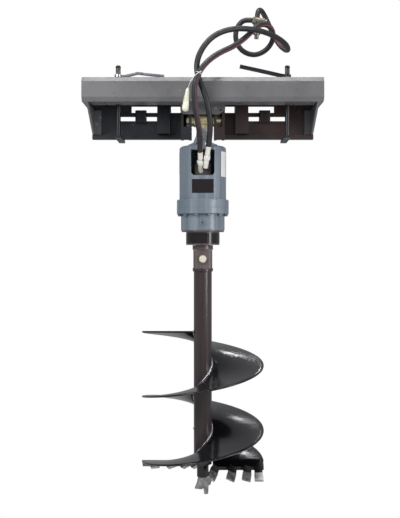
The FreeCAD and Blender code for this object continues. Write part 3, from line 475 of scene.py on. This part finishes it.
# A weld bead along a line: overlapping ripples, a little uneven.
def addBead(name, line, radius, body, finish="weldPaintedHighlights"):
    length = lineLength(line)
    ripples = max(6, round(length / (radius * 1.4)))
    steps = ripples * 4
    spaced, walked, index = [], 0.0, 0
    for i in range(steps + 1):
        wanted = length * i / steps
        while index < len(line) - 2 and walked + (line[index + 1] - line[index]).length < wanted:
            walked += (line[index + 1] - line[index]).length
            index += 1
        run = line[index + 1] - line[index]
        spaced.append(line[index] + run * min(1.0, (wanted - walked) / run.length))
    bead = addTube(name, spaced, lambda share: radius * (0.86 + 0.14 * abs(math.sin(math.pi * ripples * share))),
                   8, body)
    wear(bead, finish)
    return bead


def helixLine(radius, low, turns, start, steps, shift=0.0):
    line = []
    for i in range(steps + 1):
        angle = math.radians(start) + 2 * math.pi * turns * i / steps
        line.append(Vector((math.cos(angle) * radius, axisY + math.sin(angle) * radius,
                            low + 0.318 * turns * i / steps + shift)))
    return line


def ringLine(radius, height, steps=48):
    return [Vector((math.cos(2 * math.pi * i / steps) * radius, axisY + math.sin(2 * math.pi * i / steps) * radius,
                    height)) for i in range(steps + 1)]


# The flight welds carry bright patches as painted glints.
addBead("flightWeldTop", helixLine(0.0452, -1.709, 2.0, 180.0, 160, 0.001), 0.0060, "auger", "weldPaintedGlints")
addBead("flightWeldLow", helixLine(0.0452, -1.709, 2.0, 180.0, 160, -0.009), 0.0038, "auger", "weldPaintedGlints")
# The hub weld's lighter patches are painted highlights.
addBead("hubWeld", ringLine(0.0478, -0.7655), 0.0032, "auger")
for side in (-1, 1):
    name = "left" if side < 0 else "right"
    plateX = side * 0.5415
    # The plate and ear welds wear the frame paint darkened as painted shade.
    addBead(name + "PlateWeld", [Vector((plateX, -0.236, 0.0285)), Vector((plateX, -0.020, 0.0285))], 0.003,
            "frame", "framePaintShadeAndReflection")
    addBead(name + "EarWeld", [Vector((side * 0.1075, -0.0120, 0.010)), Vector((side * 0.1075, -0.0120, -0.090))],
            0.003, "frame", "framePaintShadeAndReflection")
print("springs, flights and welds made")


# Rolled papers in a clear bag: round at the foot, pinched at the top, a little crumpled.
def makeSleeve():
    top, foot = Vector((-0.068, -0.322, 0.078)), Vector((-0.084, -0.312, -0.030))
    rings, sides = 28, 28
    down = (foot - top)
    length = down.length
    down.normalize()
    side = Vector((1, 0, 0))
    side = (side - down * side.dot(down)).normalized()
    third = down.cross(side)
    points, faces = [], []
    for i in range(rings + 1):
        share = i / rings
        width = 0.0090 + 0.0078 * share
        if share > 0.88:
            width *= math.sqrt(max(0.0, 1 - ((share - 0.88) / 0.125) ** 2))
        if share < 0.08:
            width *= 0.5 + share / 0.16
        for k in range(sides):
            turn = 2 * math.pi * k / sides
            crease = 1 + 0.05 * math.sin(5 * turn + 9 * share) + 0.05 * noise.noise(
                Vector((math.cos(turn), math.sin(turn), share * 5)) * 2.3)
            points.append(top + down * (share * length) + side * (math.cos(turn) * width * crease)
                          + third * (math.sin(turn) * width * 0.85 * crease))
    for i in range(rings):
        for k in range(sides):
            n = (k + 1) % sides
            faces.append((i * sides + k, i * sides + n, (i + 1) * sides + n, (i + 1) * sides + k))
    faces.append(tuple(range(sides))[::-1])
    faces.append(tuple(range(rings * sides, (rings + 1) * sides)))
    sleeve = addMesh("documentSleeve", points, faces, "frame")
    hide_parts("document_sleeve")
    wear(sleeve, "sleeveFilm")


# Nylon strap: round the left hose and down to the sleeve in a loose bow.
def makeTie():
    middle, run = Vector((-0.019, -0.334, 0.1425)), Vector((0.026, 0.008, 0.053)).normalized()
    side = Vector((0, -1, 0))
    side = (side - run * side.dot(run)).normalized()
    third = run.cross(side)
    line = []
    for i in range(29):
        turn = 2 * math.pi * i / 28
        line.append(middle + side * (math.cos(turn) * 0.0152) + third * (math.sin(turn) * 0.0152))
    band = addTube("tieBand", line, 0.0016, 8, "frame", run)
    tail = splineLine([(-0.006, -0.3490, 0.150), (-0.030, -0.3500, 0.138), (-0.052, -0.344, 0.112),
                       (-0.064, -0.332, 0.090), (-0.068, -0.322, 0.074)])
    strap = addTube("tieTail", tail, 0.0017, 8, "frame")
    for piece in (band, strap):
        wear(piece, "tieNylon")
    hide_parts("cable_tie")


makeSleeve()
makeTie()


# A thin film that follows a round face, from one angle to another.
def addDecal(name, radius, angles, heights, finish, body):
    steps = 24
    points, faces = [], []
    for i in range(steps + 1):
        angle = math.radians(angles[0] + (angles[1] - angles[0]) * i / steps)
        for height in heights:
            for reach in (radius, radius + 0.0006):
                points.append((math.cos(angle) * reach, axisY + math.sin(angle) * reach, height))
    for i in range(steps):
        a, b = i * 4, (i + 1) * 4
        faces += [(a + 1, b + 1, b + 3, a + 3), (a, a + 2, b + 2, b), (a, b, b + 1, a + 1), (a + 2, a + 3, b + 3, b + 2)]
    faces += [(0, 1, 3, 2), (steps * 4, steps * 4 + 2, steps * 4 + 3, steps * 4 + 1)]
    decal = addMesh(name, points, faces, body, False)
    wear(decal, finish)
    return decal


addDecal("noseBand", 0.0822, (182.0, 358.0), (-0.642, -0.592), "labelFilm", "drive")
addDecal("sideDecal", 0.1152, (-40.0, -14.0), (-0.318, -0.196), "whiteFilm", "drive")
addDecal("edgeDecal", 0.1152, (183.0, 188.0), (-0.300, -0.196), "yellowFilm", "drive")
print("sleeve, tie and decals made")

# ------------------------------------------------------------ floor, light and colour
def makeBackdrop():
    size = 14.0
    floorHeight = cadBox[0][2] - 0.9
    floor = addMesh("floor", [(-size, -size, floorHeight), (size, -size, floorHeight),
                              (size, size, floorHeight), (-size, size, floorHeight)], [(0, 1, 2, 3)], None)
    material = bpy.data.materials.new("paleFloor")
    material.use_nodes = True
    tree = material.node_tree
    tree.nodes.clear()
    rays = addNode(tree, "LightPath").outputs
    seen = addMath(tree, "MAXIMUM", rays["Is Camera Ray"], rays["Is Transmission Ray"])
    plain = addNode(tree, "BsdfDiffuse", {"Color": (0.8, 0.8, 0.8, 1.0)}).outputs[0]
    white = addNode(tree, "Emission", {"Color": (1.0, 1.0, 1.0, 1.0), "Strength": 1.0}).outputs[0]
    shown = addNode(tree, "MixShader", links={0: seen, 1: plain, 2: white}).outputs[0]
    addNode(tree, "OutputMaterial", links={"Surface": shown})
    floor.data.materials.append(material)


def makeSky():
    world = bpy.data.worlds.new("studio")
    world.use_nodes = True
    scene.world = world
    tree = world.node_tree
    tree.nodes.clear()
    rays = addNode(tree, "LightPath").outputs
    room = addNode(tree, "Background", {"Color": (0.62, 0.63, 0.66, 1.0), "Strength": 0.55}).outputs[0]
    white = addNode(tree, "Background", {"Color": (1.0, 1.0, 1.0, 1.0), "Strength": 1.0}).outputs[0]
    shown = addNode(tree, "MixShader", links={0: rays["Is Camera Ray"], 1: room, 2: white}).outputs[0]
    addNode(tree, "OutputWorld", links={"Surface": shown})


def addLight(name, place, target, size, power, shape="RECTANGLE"):
    data = bpy.data.lights.new(name, "AREA")
    data.shape = shape
    data.size, data.size_y = size
    data.energy = power
    lamp = bpy.data.objects.new(name, data)
    lamp.location = place
    lamp.rotation_euler = (Vector(target) - Vector(place)).to_track_quat("-Z", "Y").to_euler()
    lamp.visible_camera = False
    scene.collection.objects.link(lamp)


makeBackdrop()
makeSky()
addLight("keyLight", (-2.6, -3.2, 1.8), (0, -0.1, -0.6), (1.6, 2.6), 130.0)
addLight("fillLight", (3.0, -2.6, 0.2), (0, -0.1, -0.7), (1.4, 2.8), 80.0)
addLight("topLight", (0.0, -0.4, 3.0), (0, -0.1, 0.0), (2.4, 1.6), 70.0)
addLight("flightLight", (0.62, 2.45, 0.42), (0.15, 0.0, -1.4), (0.12, 0.07), 0.9, "ELLIPSE")
scene.view_settings.view_transform = "Standard"
print("stage set")
